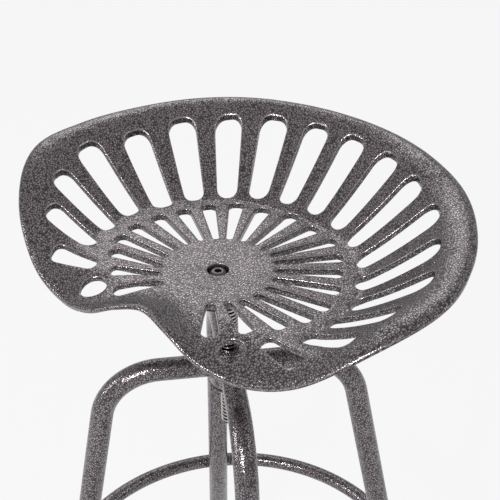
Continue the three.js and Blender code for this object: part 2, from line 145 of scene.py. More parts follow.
class SeatSizes(bpy.types.PropertyGroup):
    """Sizes of the seat casting and its fixings."""

    disc_height: length("Disc height", "Top of the seat's middle above the floor", 0.62)
    setback: length("Setback", "How far the spindle stands behind the centre bolt", 0.012)
    half_width: length("Half width", "Half the seat's width", 0.2195)
    rim_height: length("Rim height", "Back rim above the disc", 0.066)
    disc_thickness: length("Disc thickness", "Thickness of the casting's middle", 0.007)
    wall_thickness: length("Wall thickness", "Thickness of its wall", 0.0053)
    edge_radius: length("Edge radius", "Rounding of the rim's edge", 0.003)
    back_lip: length("Back lip", "Width of the lip at the back", 0.015)
    side_lip: length("Side lip", "Width of the lip at the sides", 0.022)
    roll_width: length("Roll width", "Width over which the rim rolls over", 0.007)
    roll_drop: length("Roll drop", "How far the rim rolls down", 0.003)
    fillet: length("Top fillet", "Rounding of the holes' upper edges", 0.0013)
    under_fillet: length("Under fillet", "Rounding of the holes' lower edges", 0.001)
    inner_root: length("Inner slot root", "Where the inner slots start", 0.05)
    inner_tip: length("Inner slot tip", "Where the inner slots end", 0.113)
    inner_narrow: length("Inner narrow width", "Width of an inner slot at its root", 0.0058)
    inner_wide: length("Inner wide width", "Width of an inner slot at its tip", 0.0144)
    outer_root: length("Outer slot root", "Where the outer slots start", 0.121)
    outer_narrow: length("Outer narrow width", "Width of an outer slot at its root", 0.018)
    outer_wide: length("Outer wide width", "Width of an outer slot at its tip", 0.0276)
    hole_radius: length("Hole radius", "The two round holes", 0.0115)
    hole_distance: length("Hole distance", "Round holes from the centre bolt", 0.108)
    pad_radius: length("Pad radius", "Pad under the disc", 0.044)
    pad_depth: length("Pad depth", "Depth of the pad", 0.005)
    counterbore: length("Counterbore radius", "Recess for the centre bolt", 0.0095)
    counterbore_depth: length("Counterbore depth", "Depth of that recess", 0.007)
    bolt_bore: length("Bolt bore", "Radius of the hole for the centre bolt", 0.0053)
    spacing: length("Mesh spacing", "Distance between the points of the pierced faces", 0.0026)


class FrameSizes(bpy.types.PropertyGroup):
    """Sizes of the tube frame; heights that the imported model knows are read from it."""

    leg_radius: length("Leg radius", "Outside of the leg tubes", 0.01065)
    leg_level: length("Leg level", "Centre line of the legs' level run", 0.509)
    leg_run: length("Leg run", "From the axis to the start of the bend", 0.065)
    bend_radius: length("Bend radius", "Centre line radius of the bend", 0.057)
    splay: FloatProperty(name="Splay", description="Lean of the legs from upright, in degrees", default=10.5)
    leg_end: length("Leg end", "Height of the tubes' ends, on the feet's soles", 0.005)
    hub_radius: length("Hub radius", "Outside of the hub tube", 0.018)
    hub_wall: length("Hub wall", "Wall of the hub tube", 0.003)
    bead: length("Weld bead", "Radius of the weld beads", 0.0021)
    foot_wall: length("Foot wall", "Wall of the rubber feet", 0.0025)
    foot_height: length("Foot height", "Length of a foot along its tube", 0.03)
    sides: IntProperty(name="Tube sides", description="Facets round a tube", default=48, min=12)


class SpindleSizes(bpy.types.PropertyGroup):
    """Sizes of the spindle and the small hardware."""

    radius: length("Spindle radius", "Over the thread's crests", 0.009)
    core: length("Core radius", "At the thread's roots", 0.0068)
    pitch: length("Pitch", "Rise of the thread in one turn", 0.004)
    chamfer: length("Chamfer", "Chamfer of the lower end", 0.0015)
    collar_radius: length("Collar radius", "Collar that is welded to the plate", 0.015)
    collar_height: length("Collar height", "Height of the collar's cone", 0.005)


class FinishColours(bpy.types.PropertyGroup):
    """Colours of the finishes."""

    coat_dark: colour("Coat net", "Black net of the powder coat", "#0C0809")
    coat_light: colour("Coat islands", "Pewter islands of the powder coat", "#A99DA3")
    zinc: colour("Zinc", "Dark zinc plate of the bolts", "#6A6869")
    spindle: colour("Spindle steel", "Crests of the spindle's thread", "#D2D0CB")
    # painted shade in the roots of the thread
    painted_root_shade: colour("Grease", "Grease in the roots of the thread", "#2A2725")
    rolled: colour("Rolled steel", "Dark rolled steel plate", "#4B4A4C")
    nylon: colour("Nylon", "Moulded nylon bush", "#222326")
    rubber: colour("Rubber", "Moulded rubber feet", "#1B1B1C")
    floor: colour("Floor", "Painted studio floor", "#E4E4E4")


class StageSettings(bpy.types.PropertyGroup):
    """Where the camera stands and how strong the lamps are."""

    lens_mm: FloatProperty(name="Lens", description="Focal length in millimetres", default=86.4)
    sensor_mm: FloatProperty(name="Sensor", description="Width of the sensor in millimetres", default=36)
    camera_x: length("Camera X", "Camera place", 0.5525)
    camera_y: length("Camera Y", "Camera place", -0.6755)
    camera_z: length("Camera Z", "Camera place", 1.2022)
    azimuth: FloatProperty(name="Azimuth", description="Camera heading, from +Y towards -X", default=37.926)
    pitch: FloatProperty(name="Pitch", description="Camera tilt below the horizon", default=33.104)
    roll: FloatProperty(name="Roll", description="Camera roll", default=-0.864)
    world_strength: FloatProperty(name="World strength", description="Even light all round", default=0.4)
    floor_size: length("Floor size", "Edge of the floor", 12.0)


SCENE_GROUPS = {
    "stool_seat": SeatSizes,
    "stool_frame": FrameSizes,
    "stool_spindle": SpindleSizes,
    "stool_finish": FinishColours,
    "stool_stage": StageSettings,
}


def mesh_from(name, grids, patches=(), smooth_angle=None):
    """One welded mesh from grids of points (rows, columns, 3), whose columns close on themselves, and patches
    (points, triangles). A grid given as (points, False) stays open between its last and first column. Points
    that meet are merged, so a row drawn to one point becomes a fan, and the faces are turned outwards."""
    points, faces, sizes, first = [], [], [], 0
    for grid in grids:
        grid, closed = grid if isinstance(grid, tuple) else (grid, True)
        rows, columns = grid.shape[:2]
        index = np.arange(rows * columns).reshape(rows, columns) + first
        ahead = np.roll(index, -1, axis=1)
        if not closed:
            index, ahead = index[:, :-1], ahead[:, :-1]
        quads = np.stack([index[:-1], ahead[:-1], ahead[1:], index[1:]], axis=-1).reshape(-1, 4)
        points.append(grid.reshape(-1, 3))
        faces.append(quads.ravel())
        sizes.append(np.full(len(quads), 4))
        first += rows * columns
    for patch, triangles in patches:
        points.append(patch)
        faces.append((triangles + first).ravel())
        sizes.append(np.full(len(triangles), 3))
        first += len(patch)
    points, faces, sizes = np.concatenate(points), np.concatenate(faces), np.concatenate(sizes)
    mesh = bpy.data.meshes.new(name)
    mesh.vertices.add(len(points))
    mesh.vertices.foreach_set("co", points.astype(np.float32).ravel())
    mesh.loops.add(len(faces))
    mesh.loops.foreach_set("vertex_index", faces.astype(np.int32))
    mesh.polygons.add(len(sizes))
    mesh.polygons.foreach_set("loop_start", (np.cumsum(sizes) - sizes).astype(np.int32))
    mesh.update(calc_edges=True)
    shell = bmesh.new()
    shell.from_mesh(mesh)
    bmesh.ops.remove_doubles(shell, verts=shell.verts, dist=WELD)
    bmesh.ops.recalc_face_normals(shell, faces=shell.faces)
    shell.to_mesh(mesh)
    shell.free()
    mesh.shade_smooth()
    if smooth_angle is not None:
        mesh.set_sharp_from_angle(angle=math.radians(smooth_angle))
    return mesh


def place(mesh, material, body, slot, *nodes):
    """Shows a mesh on a body of the frame, in its material, instead of the nodes named. The slot is not used.
    """
    piece = bpy.data.objects.new(mesh.name, mesh)
    bpy.context.scene.collection.objects.link(piece)
    mesh.materials.append(material)
    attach(piece, body)
    if nodes:
        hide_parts(*nodes)
    return piece


def around(sides, phase=0):
    """Angles in radians of evenly spaced columns."""
    return 2 * np.pi * np.arange(sides) / sides + phase


def turned(profile, sides, centre=(0, 0, 0)):
    """A profile of (radius, height) rows turned about an upright axis. Where a row's radius is negative, it
    is a hexagon of that corner radius instead of a circle."""
    profile = np.array(profile, float)
    angle = around(sides)
    corner = np.cos(np.pi / 6) / np.cos(np.mod(angle, np.pi / 3) - np.pi / 6)
    scale = np.where(profile[:, :1] < 0, corner, 1)
    radius = np.abs(profile[:, :1]) * scale
    height = np.broadcast_to(profile[:, 1:2], radius.shape)
    grid = np.stack([radius * np.cos(angle), radius * np.sin(angle), height], axis=-1)
    return grid + np.array(centre)


def rounded(profile, radius, steps=4):
    """The profile with each inner corner replaced by a quadratic curve that starts and ends radius away."""
    profile = np.array(profile, float)
    before, corner, after = profile[:-2], profile[1:-1], profile[2:]

    def pulled(other):
        """The corner moved towards its neighbour by the radius, or by less on a short edge."""
        away = other - corner
        span = np.linalg.norm(away, axis=1, keepdims=True)
        return corner + away / span * np.minimum(radius, span * 0.45)

    start, end = pulled(before), pulled(after)
    t = np.linspace(0, 1, steps + 1)[:, None, None]
    curve = (1 - t) ** 2 * start + 2 * t * (1 - t) * corner + t ** 2 * end
    return np.concatenate([profile[:1], curve.transpose(1, 0, 2).reshape(-1, 2), profile[-1:]])


def beaded(path, normals, radius, ripples, ripple_share=0.14, sides=12):
    """A weld bead: a round section carried along a closed path. Its radius swells and shrinks with the
    ripples. The normals are square to the path, and the section's other axis is the cross product."""
    tangent = np.roll(path, -1, axis=0) - np.roll(path, 1, axis=0)
    tangent /= np.linalg.norm(tangent, axis=1, keepdims=True)
    normals = normals - tangent * np.sum(normals * tangent, axis=1, keepdims=True)
    normals /= np.linalg.norm(normals, axis=1, keepdims=True)
    side = np.cross(tangent, normals)
    station = np.arange(len(path)) / len(path)
    swell = radius * (1 + ripple_share * (np.abs(np.sin(np.pi * ripples * station)) - 0.5))
    angle = around(sides)[None, :, None]
    ring = np.cos(angle) * normals[:, None] + np.sin(angle) * side[:, None]
    tube = path[:, None] + swell[:, None, None] * ring
    return np.concatenate([tube, tube[:1]])


def smoothstep(value, low, high):
    """0 below low, 1 above high and an S between."""
    t = np.clip((value - low) / (high - low), 0, 1)
    return t * t * (3 - 2 * t)


def plateau(value, start, full, fade, gone):
    """0 at both ends and 1 between full and fade: one S curve up, and another down."""
    return smoothstep(value, start, full) * (1 - smoothstep(value, fade, gone))


def rounded_lower(one, other, width):
    """The lower of two values, with a parabola between them where they differ by less than the width."""
    share = np.clip(0.5 + (other - one) / (2 * width), 0, 1)
    return other + (one - other) * share - width * share * (1 - share)


def table_value(shares, angle):
    """Catmull-Rom curve through shares that stand TABLE_STEP degrees apart, mirrored at back and front."""
    table = np.array(shares, float)
    table = np.concatenate([table[1:2], table, table[-2:-1]])
    where = np.abs(angle) / TABLE_STEP
    start = np.minimum(where.astype(int), len(shares) - 2)
    t = where - start
    before, here, there, after = (table[start + k] for k in range(4))
    slope_here, slope_there = (there - before) / 2, (after - here) / 2
    return ((2 * t ** 3 - 3 * t ** 2 + 1) * here + (t ** 3 - 2 * t ** 2 + t) * slope_here
            + (3 * t ** 2 - 2 * t ** 3) * there + (t ** 3 - t ** 2) * slope_there)


def polar(radius, angle):
    """Plan points at a distance from the centre bolt and an angle from the back, towards +X."""
    turn = np.radians(angle)
    return np.stack(np.broadcast_arrays(radius * np.sin(turn), radius * np.cos(turn)), axis=-1)


def rim_radius(seat, angle):
    """The seat's outline: a distance for each angle from the back."""
    return seat.half_width * table_value(RIM_RADIUS_SHARES, angle)


def floor_radius(seat, angle):
    """Where the seat's wall starts to rise, for each angle from the back."""
    return seat.half_width * table_value(FLOOR_RADIUS_SHARES, angle)


def pan_height(seat, radius, angle):
    """Top face above the disc: level in the middle, then a wall that rises by a power law until the lip cuts
    it off over a rounded crest, or at the front a power curve that follows the rim down over the thighs and
    up over the pommel. The edge rolls over by a square law."""
    rim = rim_radius(seat, angle)
    floor = floor_radius(seat, angle)
    side = np.sin(np.radians(angle)) ** 2
    lip_width = seat.back_lip + (seat.side_lip - seat.back_lip) * side
    lip_start = rim - lip_width
    wall = (1 - LIP_RISE_SHARE) * np.maximum(0, (radius - floor) / (lip_start - floor)) ** WALL_POWER
    lip = 1 - LIP_RISE_SHARE * (rim - radius) / lip_width
    crest = BACK_CREST_SHARE + (SIDE_CREST_SHARE - BACK_CREST_SHARE) * side
    front_curve = np.maximum(0, (radius - floor) / (rim - floor)) ** FRONT_CURVE_POWER
    front = smoothstep(np.abs(angle), FRONT_START_ANGLE, FRONT_FULL_ANGLE)
    roll = np.maximum(0, (radius - rim + seat.roll_width) / seat.roll_width)
    rise = rounded_lower(wall, lip, crest) * (1 - front) + front_curve * front
    return seat.rim_height * table_value(RIM_HEIGHT_SHARES, angle) * rise - seat.roll_drop * roll ** 2


def top_height(seat, plan):
    """Top face over plan points."""
    return pan_height(seat, np.hypot(plan[..., 0], plan[..., 1]), plan_angle(plan))


def under_height(seat, plan):
    """Under face: the top face less the thickness, which is measured square to the slope and is an S curve of
    the radius, from the disc's to the wall's."""
    radius, angle, step = np.hypot(plan[..., 0], plan[..., 1]), plan_angle(plan), seat.wall_thickness / 4
    floor = floor_radius(seat, angle)
    thinning = smoothstep(radius, floor * THIN_START_SHARE, floor * THIN_END_SHARE)
    thickness = seat.disc_thickness + (seat.wall_thickness - seat.disc_thickness) * thinning
    slope = (pan_height(seat, radius + step, angle) - pan_height(seat, radius - step, angle)) / (2 * step)
    return pan_height(seat, radius, angle) - thickness * np.sqrt(1 + slope ** 2)


def plan_angle(plan):
    """Angle of plan points from the back, in degrees."""
    return np.degrees(np.arctan2(plan[..., 0], plan[..., 1]))


def lifted(plan, height):
    """Plan points with their heights."""
    return np.concatenate([plan, height[..., None]], axis=-1)


def slot_loop(root, tip, narrow, wide, spacing, corner_steps=8):
    """Closed outline of a tapered slot, counter-clockwise: straight runs sampled by spacing, and corners that
    are cubic curves whose handles reach ROUND_SHARE of the way to the corner of the taper, as in an arc. It
    is drawn across and along, then turned to run from root to tip."""
    run = np.linalg.norm(tip - root)
    root_corner, tip_corner = narrow * ROOT_CORNER_SHARE, wide * TIP_CORNER_SHARE

    def side(station):
        """Half the slot's width at a distance from its root."""
        return (narrow + (wide - narrow) * station / run) / 2

    low, high = root_corner, run - tip_corner
    half = [
        [(0, 0), None, (narrow / 2 - root_corner, 0)],
        [(narrow / 2 - root_corner, 0), (narrow / 2, 0), (side(low), low)],
        [(side(low), low), None, (side(high), high)],
        [(side(high), high), (wide / 2, run), (wide / 2 - tip_corner, run)],
        [(wide / 2 - tip_corner, run), None, (0, run)],
    ]
    parts = []
    for start, corner, end in half:
        start, end = np.array(start), np.array(end)
        if corner is None:
            steps = max(1, round(np.linalg.norm(end - start) / spacing))
            t = np.linspace(0, 1, steps, endpoint=False)[:, None]
            parts.append(start + t * (end - start))
        else:
            t = np.linspace(0, 1, corner_steps, endpoint=False)[:, None]
            leave = start + (np.array(corner) - start) * ROUND_SHARE
            arrive = end + (np.array(corner) - end) * ROUND_SHARE
            parts.append((1 - t) ** 3 * start + 3 * t * (1 - t) ** 2 * leave + 3 * t ** 2 * (1 - t) * arrive
                         + t ** 3 * end)
    right = np.concatenate(parts)
    left = np.concatenate([[(0.0, run)], right[:0:-1] * (-1, 1)])
    local = np.concatenate([right, left])
    along = (tip - root) / run
    across = np.array([along[1], -along[0]])
    return root + local[:, :1] * across + local[:, 1:] * along


def seat_loops(seat):
    """Outlines of every slot and hole of the casting, in plan."""
    loops = []
    for side in (-1, 1):
        inner = zip(INNER_ROOT_ANGLES, INNER_TIP_ANGLES, INNER_TIP_SHARES, INNER_WIDTH_SHARES)
        for root, tip, share, width in inner:
            if side < 0 and root == 0:
                continue
            start = polar(seat.inner_root, side * root)
            end = polar(seat.inner_tip * share, side * tip)
            loops.append(slot_loop(start, end, seat.inner_narrow * width, seat.inner_wide * width,
                                   seat.spacing))
        outer = zip(OUTER_ROOT_ANGLES, OUTER_ROOT_SHARES, OUTER_TIP_ANGLES, OUTER_TIP_SHARES,
                    OUTER_NARROW_SHARES, OUTER_WIDE_SHARES)
        for root, root_share, tip, tip_share, narrow, wide in outer:
            reach = float(rim_radius(seat, np.array(tip))) * tip_share
            start = polar(seat.outer_root * root_share, side * root)
            loops.append(slot_loop(start, polar(reach, side * tip), seat.outer_narrow * narrow,
                                   seat.outer_wide * wide, seat.spacing))
        turn = around(40)
        circle = seat.hole_radius * np.stack([np.cos(turn), np.sin(turn)], axis=-1)
        loops.append(polar(seat.hole_distance, side * HOLE_ANGLE) + circle)
    return loops


def outward(loop):
    """Unit normals of a counter-clockwise loop, pointing away from what it encloses."""
    ahead = np.roll(loop, -1, axis=0) - loop
    edge = np.stack([ahead[:, 1], -ahead[:, 0]], axis=-1)
    edge /= np.linalg.norm(edge, axis=1, keepdims=True)
    normal = edge + np.roll(edge, 1, axis=0)
    return normal / np.linalg.norm(normal, axis=1, keepdims=True)


def slot_wall(seat, loop, steps=5):
    """The band of casting round one hole: a quarter round from the top face into the upright wall, and a
    smaller one from the wall out to the under face. In each, the distance from the wall is radius times one
    minus the sine of the turn, and the drop from the face is radius times one minus the cosine."""
    normal = outward(loop)
    turn = np.linspace(0, np.pi / 2, steps)
    rows = []
    for offset, drop in zip(seat.fillet * (1 - np.sin(turn)), seat.fillet * (1 - np.cos(turn))):
        plan = loop + normal * offset
        rows.append(lifted(plan, top_height(seat, plan) - drop))
    under = seat.under_fillet
    for offset, drop in zip(under * (1 - np.cos(turn)), under * (1 - np.sin(turn))):
        plan = loop + normal * offset
        rows.append(lifted(plan, under_height(seat, plan) + drop))
    plan = loop + normal * seat.fillet
    rows.append(lifted(plan, under_height(seat, plan)))
    return np.stack(rows)


def inside(loop, points):
    """Whether each point is inside a loop: a ray towards +X crosses it an odd number of times."""
    start, end = loop, np.roll(loop, -1, axis=0)
    x, y = points[:, :1], points[:, 1:]
    spans = (start[:, 1] > y) != (end[:, 1] > y)
    rise = np.where(start[:, 1] == end[:, 1], 1, end[:, 1] - start[:, 1])
    crossing = start[:, 0] + (y - start[:, 1]) * (end[:, 0] - start[:, 0]) / rise
    return np.sum(spans & (x < crossing), axis=1) % 2 == 1


def distance_to(loop, points):
    """Distance of each point to the nearest edge of a loop."""
    start, along = loop, np.roll(loop, -1, axis=0) - loop
    away = points[:, None] - start
    t = np.clip(np.sum(away * along, axis=-1) / np.sum(along ** 2, axis=-1), 0, 1)
    return np.linalg.norm(away - t[..., None] * along, axis=-1).min(axis=1)


def pierced_plan(outline, holes, spacing):
    """Triangles in plan between an outline and the holes in it: a lattice of equilateral triangles fills the
    space, leaving out points near an edge, and a Delaunay triangulation keeps every edge of the loops."""
    low, high = outline.min(axis=0), outline.max(axis=0)
    rise = spacing * math.sqrt(3) / 2
    x, y = np.meshgrid(np.arange(low[0], high[0], spacing), np.arange(low[1], high[1], rise))
    x = x + spacing / 2 * (np.arange(len(x)) % 2)[:, None]
    lattice = np.stack([x.ravel(), y.ravel()], axis=-1)
    margin = 0.6 * spacing
    lattice = lattice[inside(outline, lattice)]
    lattice = lattice[distance_to(outline, lattice) > margin]
    for hole in holes:
        near = np.all((lattice > hole.min(axis=0) - margin) & (lattice < hole.max(axis=0) + margin), axis=1)
        drop = np.zeros(len(lattice), bool)
        drop[near] = inside(hole, lattice[near]) | (distance_to(hole, lattice[near]) < margin)
        lattice = lattice[~drop]
    edges, first = [], 0
    for loop in (outline, *holes):
        index = np.arange(len(loop)) + first
        edges.append(np.stack([index, np.roll(index, -1)], axis=-1))
        first += len(loop)
    points = np.concatenate([outline, *holes, lattice])
    made = delaunay_2d_cdt(points.tolist(), np.concatenate(edges).tolist(), [], 0, 1e-9, False)
    plan, triangles = np.array(made[0], float), np.array(made[2])
    middle = plan[triangles].mean(axis=1)
    keep = inside(outline, middle)
    for hole in holes:
        near = keep & np.all((middle > hole.min(axis=0)) & (middle < hole.max(axis=0)), axis=1)
        keep[near] = ~inside(hole, middle[near])
    return plan, triangles[keep]


def rim_wall(seat, angle, start, steps=6, edge_steps=10):
    """The rim all round: rows from the start distance inside the outline out over the roll, half a turn round
    the edge, and back underneath."""
    rim = rim_radius(seat, angle)
    edge = rim - seat.edge_radius
    inset = np.linspace(start, seat.edge_radius, steps)
    plans = [polar(rim - width, angle) for width in inset]
    top = [lifted(plan, pan_height(seat, rim - width, angle)) for plan, width in zip(plans, inset)]
    under = [lifted(plan, under_height(seat, plan)) for plan in reversed(plans)]
    middle = (top[-1][:, 2] + under[0][:, 2]) / 2
    half = (top[-1][:, 2] - under[0][:, 2]) / 2
    turn = np.linspace(0, np.pi, edge_steps + 1)[1:-1]
    nose = [lifted(polar(edge + seat.edge_radius * np.sin(t), angle), middle + half * np.cos(t))
            for t in turn]
    return np.stack(top + nose + under)


def hub_of_seat(seat, ring, sides):
    """The middle of the casting: from a ring on the disc into the counterbore, through the bolt's bore, and
    out over the pad's face and up its side to the same ring underneath."""
    under, pad = -seat.disc_thickness, -seat.disc_thickness - seat.pad_depth
    recess_edge, pad_edge = 0.8 * MM, 1.2 * MM
    recess = rounded([(ring, 0), (seat.counterbore, 0), (seat.counterbore, -seat.counterbore_depth),
                      (seat.bolt_bore, -seat.counterbore_depth)], recess_edge)
    below = rounded([(seat.bolt_bore, pad), (seat.pad_radius, pad), (seat.pad_radius, under), (ring, under)],
                    pad_edge)
    profile = np.concatenate([recess, below])
    grid = turned(profile, sides)
    return np.concatenate([grid[..., 1:2], grid[..., 0:1], grid[..., 2:]], axis=-1)


class SeatCasting(bpy.types.Operator):
    """Make the pierced seat casting"""

    bl_idname = "stool.seat_casting"
    bl_label = "Seat casting"

    def execute(self, context):
        seat = context.scene.stool_seat
        sides, rim_sides = 96, 540
        pad_margin, rim_margin = 1.8 * MM, 2 * MM
        ring = seat.pad_radius + pad_margin
        rim_start = seat.roll_width + rim_margin
        rim_angle = -np.degrees(around(rim_sides)) + 180
        outline = polar(rim_radius(seat, rim_angle) - rim_start, rim_angle)
        middle = polar(ring, 90 - np.degrees(around(sides)))
        loops = seat_loops(seat)
        offset = [loop + outward(loop) * seat.fillet for loop in loops]
        plan, triangles = pierced_plan(outline, [middle, *offset], seat.spacing)
        patches = [(lifted(plan, top_height(seat, plan)), triangles),
                   (lifted(plan, under_height(seat, plan)), triangles)]
        grids = [slot_wall(seat, loop) for loop in loops]
        grids += [rim_wall(seat, rim_angle, rim_start), hub_of_seat(seat, ring, sides)]
        shift = np.array([0, -seat.setback, seat.disc_height])
        mesh = mesh_from("seat_casting", [grid + shift for grid in grids],
                         [(points + shift, faces) for points, faces in patches])
        self.mark_painted_shade_and_highlight(seat, mesh, shift)
        place(mesh, coat_material(), "seat", "seat_coat", "seat_pan")
        return {"FINISHED"}

    def mark_painted_shade_and_highlight(self, seat, mesh, shift):
        """Stores on each point the painted shade and the painted highlight that the coat gets there. A hole's
        wall gets painted shade, which is above nought, and the rounding of its top edge gets a painted
        highlight, which is below nought. Each is a plateau over the depth below the top face, as a share of
        the casting's depth there."""
        points = np.empty(len(mesh.vertices) * 3, np.float32)
        mesh.vertices.foreach_get("co", points)
        points = points.reshape(-1, 3) - shift
        plan = points[:, :2]
        top, under = top_height(seat, plan), under_height(seat, plan)
        share = (top - points[:, 2]) / (top - under)
        # painted shade in the holes' walls, less the painted highlight on their top edges
        recess = plateau(share, *PAINTED_WALL_SHADE_SHARES) - EDGE_HIGHLIGHT_WEIGHT * plateau(share, *PAINTED_EDGE_HIGHLIGHT_SHARES)
        layer = mesh.attributes.new("recess", "FLOAT", "POINT")
        layer.data.foreach_set("value", recess.astype(np.float32))


class SeatFixings(bpy.types.Operator):
    """Make the plate under the seat, the centre bolt and the three plate bolts with their washers"""

    bl_idname = "stool.seat_fixings"
    bl_label = "Seat fixings"

    def execute(self, context):
        low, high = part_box("mounting_plate")
        middle, radius, edge = (low + high) / 2, (high.x - low.x) / 2, 0.9 * MM
        plate = rounded([(0, low.z), (radius, low.z), (radius, high.z), (0, high.z)], edge)
        mesh = mesh_from("seat_plate", [turned(plate, 96, (0, middle.y, 0))])
        place(mesh, rolled_material(), "seat", "plate_steel", "mounting_plate")
        self.centre_bolt()
        for number in PLATE_BOLTS:
            self.plate_bolt(number)
        return {"FINISHED"}

    def centre_bolt(self):
        """Button head with a hexagon socket: floor of the socket, its wall, the dome, the rim and the shank.
        The dome falls by a power of the way out from the socket's edge."""
        low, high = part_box("centre_bolt")
        seat, radius = context_seat(), (high.x - low.x) / 2
        underside = seat.disc_height - seat.counterbore_depth + GAP
        shank = seat.bolt_bore - GAP
        socket_share, crown_share, dome_share, dome_power = 0.39, 1.25, 0.62, 2.2
        depth, drill_cone, lead_in, edge = 3 * MM, 0.4 * MM, 0.35 * MM, 0.3 * MM
        socket, floor = socket_share * radius, high.z - depth
        crown = crown_share * socket
        out = np.linspace(0, 1, 9)
        fall = (high.z - underside) * dome_share * out ** dome_power
        dome = np.stack([crown + (radius - crown) * out, high.z - fall], axis=-1)
        profile = [(0, floor - drill_cone), (-0.98 * socket, floor), (-socket, high.z - lead_in),
                   (-1.08 * socket, high.z), *dome, (radius, underside + edge), (radius - edge, underside),
                   (shank, underside), (shank, low.z), (0, low.z)]
        mesh = mesh_from("centre_button_bolt", [turned(profile, 72, (0, -seat.setback, 0))], smooth_angle=40)
        place(mesh, zinc_material(), "seat", "zinc_plate", "centre_bolt")

    def plate_bolt(self, number):
        """Hexagon head with a chamfered underside, a plain washer above it, and the shank up to the pad."""
        node, washer_node = f"plate_bolt_{number}", f"plate_washer_{number}"
        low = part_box(node)[0]
        washer_low, washer_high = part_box(washer_node)
        middle = (washer_low + washer_high) / 2
        seat = context_seat()
        corner, shank, chamfer, top_edge, washer_edge = 5.8 * MM, 3 * MM, 0.55 * MM, 0.2 * MM, 0.35 * MM
        flat = 0.86 * corner
        top, pad = washer_low.z - GAP, seat.disc_height - seat.disc_thickness - seat.pad_depth
        head = [(0, low.z), (flat, low.z), (-corner, low.z + chamfer), (-corner, top - top_edge),
                (0.97 * flat, top), (shank, top), (shank, pad), (0, pad)]
        mesh = mesh_from(f"hexagon_bolt_{number}", [turned(head, 48, (middle.x, middle.y, 0))],
                         smooth_angle=25)
        place(mesh, zinc_material(), "seat", "zinc_plate", node)
        radius = (washer_high.x - washer_low.x) / 2
        ring = rounded([(shank, washer_low.z), (radius, washer_low.z), (radius, washer_high.z),
                        (shank, washer_high.z)], washer_edge)
        ring = np.concatenate([ring, ring[:1]])
        mesh = mesh_from(f"washer_{number}", [turned(ring, 64, (middle.x, middle.y, 0))], smooth_angle=50)
        place(mesh, zinc_material(), "seat", "zinc_plate", washer_node)


def context_seat():
    """Sizes of the seat."""
    return bpy.context.scene.stool_seat


class ThreadedSpindle(bpy.types.Operator):
    """Make the threaded spindle with its collar"""

    bl_idname = "stool.spindle"
    bl_label = "Threaded spindle"

    def execute(self, context):
        sizes = context.scene.stool_spindle
        low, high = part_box("spindle")
        rows, sides = 12, 48
        turns = (high.z - low.z) / sizes.pitch
        step = np.arange(math.ceil(rows * (turns + 1)) + 1)[:, None]
        angle = np.linspace(0, 2 * np.pi, sides + 1)[None, :]
        lead = angle / (2 * np.pi)
        height = np.clip(low.z + sizes.pitch * (step / rows + lead - 1), low.z, high.z)
        radius = self.thread_radius(sizes, (height - low.z) / sizes.pitch - lead)
        radius = np.minimum(radius, sizes.radius - sizes.chamfer + height - low.z)
        cone = (sizes.collar_radius - sizes.radius) / sizes.collar_height
        radius = np.maximum(radius, sizes.collar_radius + (height - high.z) * cone)
        grid = np.stack([radius * np.cos(angle), radius * np.sin(angle), height], axis=-1)
        ends = np.zeros((2, 1, sides + 1, 3))
        ends[0, ..., 2], ends[1, ..., 2] = low.z, high.z
        grid = np.concatenate([ends[0], grid, ends[1]])
        mesh = mesh_from("threaded_spindle", [(grid, False)], smooth_angle=60)
        place(mesh, spindle_material(), "seat", "spindle_steel", "spindle")
        self.collar_weld(sizes, high.z)
        return {"FINISHED"}

    def thread_radius(self, sizes, place_in_turns):
        """Rounded trapezoidal thread: from crest to root and back by two S curves in each turn."""
        hair = 1e-6  # keeps rounding from splitting a crest
        dip = plateau(np.mod(place_in_turns + hair, 1), *THREAD_FLANK_SHARES)
        return sizes.radius - (sizes.radius - sizes.core) * dip

    def collar_weld(self, sizes, top):
        """The bead that joins the collar to the plate."""
        bead, outside, below, ripples = 1.3 * MM, 0.4 * MM, 0.9 * MM, 34
        turn = around(240)
        out = np.stack([np.cos(turn), np.sin(turn), 0 * turn], axis=-1)
        path = out * (sizes.collar_radius + outside) + np.array([0, 0, top - below])
        mesh = mesh_from("collar_weld", [beaded(path, out, bead, ripples)])
        place(mesh, rolled_material(), "seat", "plate_steel")


class Hub(bpy.types.Operator):
    """Make the hub tube and its two bushes"""

    bl_idname = "stool.hub"
    bl_label = "Hub and bushes"

    def execute(self, context):
        sizes = context.scene.stool_frame
        hub_edge, thread_edge, guide_edge = 0.8 * MM, 0.7 * MM, 0.6 * MM
        thread_flange, guide_flange = 3 * MM, 2 * MM
        outer, inner = sizes.hub_radius, sizes.hub_radius - sizes.hub_wall
        bore, sleeve = context.scene.stool_spindle.radius + THREAD_GAP, inner - GAP
        low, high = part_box("hub_tube")
        self.ring("hub", [(inner, low.z), (outer, low.z), (outer, high.z), (inner, high.z)], hub_edge,
                  coat_material(), "base", "frame_coat", "hub_tube")
        low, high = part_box("thread_bush")
        face = high.z - thread_flange
        self.ring("coated_thread_bush", [(bore, low.z), (sleeve, low.z), (sleeve, face), (outer, face),
                                         (outer, high.z), (bore, high.z)], thread_edge,
                  coat_material(), "base", "frame_coat", "thread_bush")
        low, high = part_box("guide_bush")
        face = low.z + guide_flange
        self.ring("nylon_guide_bush", [(bore, low.z), (outer, low.z), (outer, face), (sleeve, face),
                                       (sleeve, high.z), (bore, high.z)], guide_edge,
                  nylon_material(), "guide", "bush_nylon", "guide_bush")
        return {"FINISHED"}

    def ring(self, name, corners, rounding, material, body, slot, node):
        """A ring turned from a closed profile with rounded corners, which starts midway along an edge."""
        corners = np.array(corners)
        start = (corners[0] + corners[-1]) / 2
        profile = rounded(np.concatenate([[start], corners, [start]]), rounding)
        place(mesh_from(name, [turned(profile, 72)]), material, body, slot, node)


def leg_reach(sizes, level):
    """How far out a leg's centre line is at a level below its bend."""
    bend = math.radians(90 - sizes.splay)
    out = sizes.leg_run + sizes.bend_radius * math.sin(bend)
    down = sizes.leg_level - sizes.bend_radius * (1 - math.cos(bend))
    return out + (down - level) * math.tan(math.radians(sizes.splay))


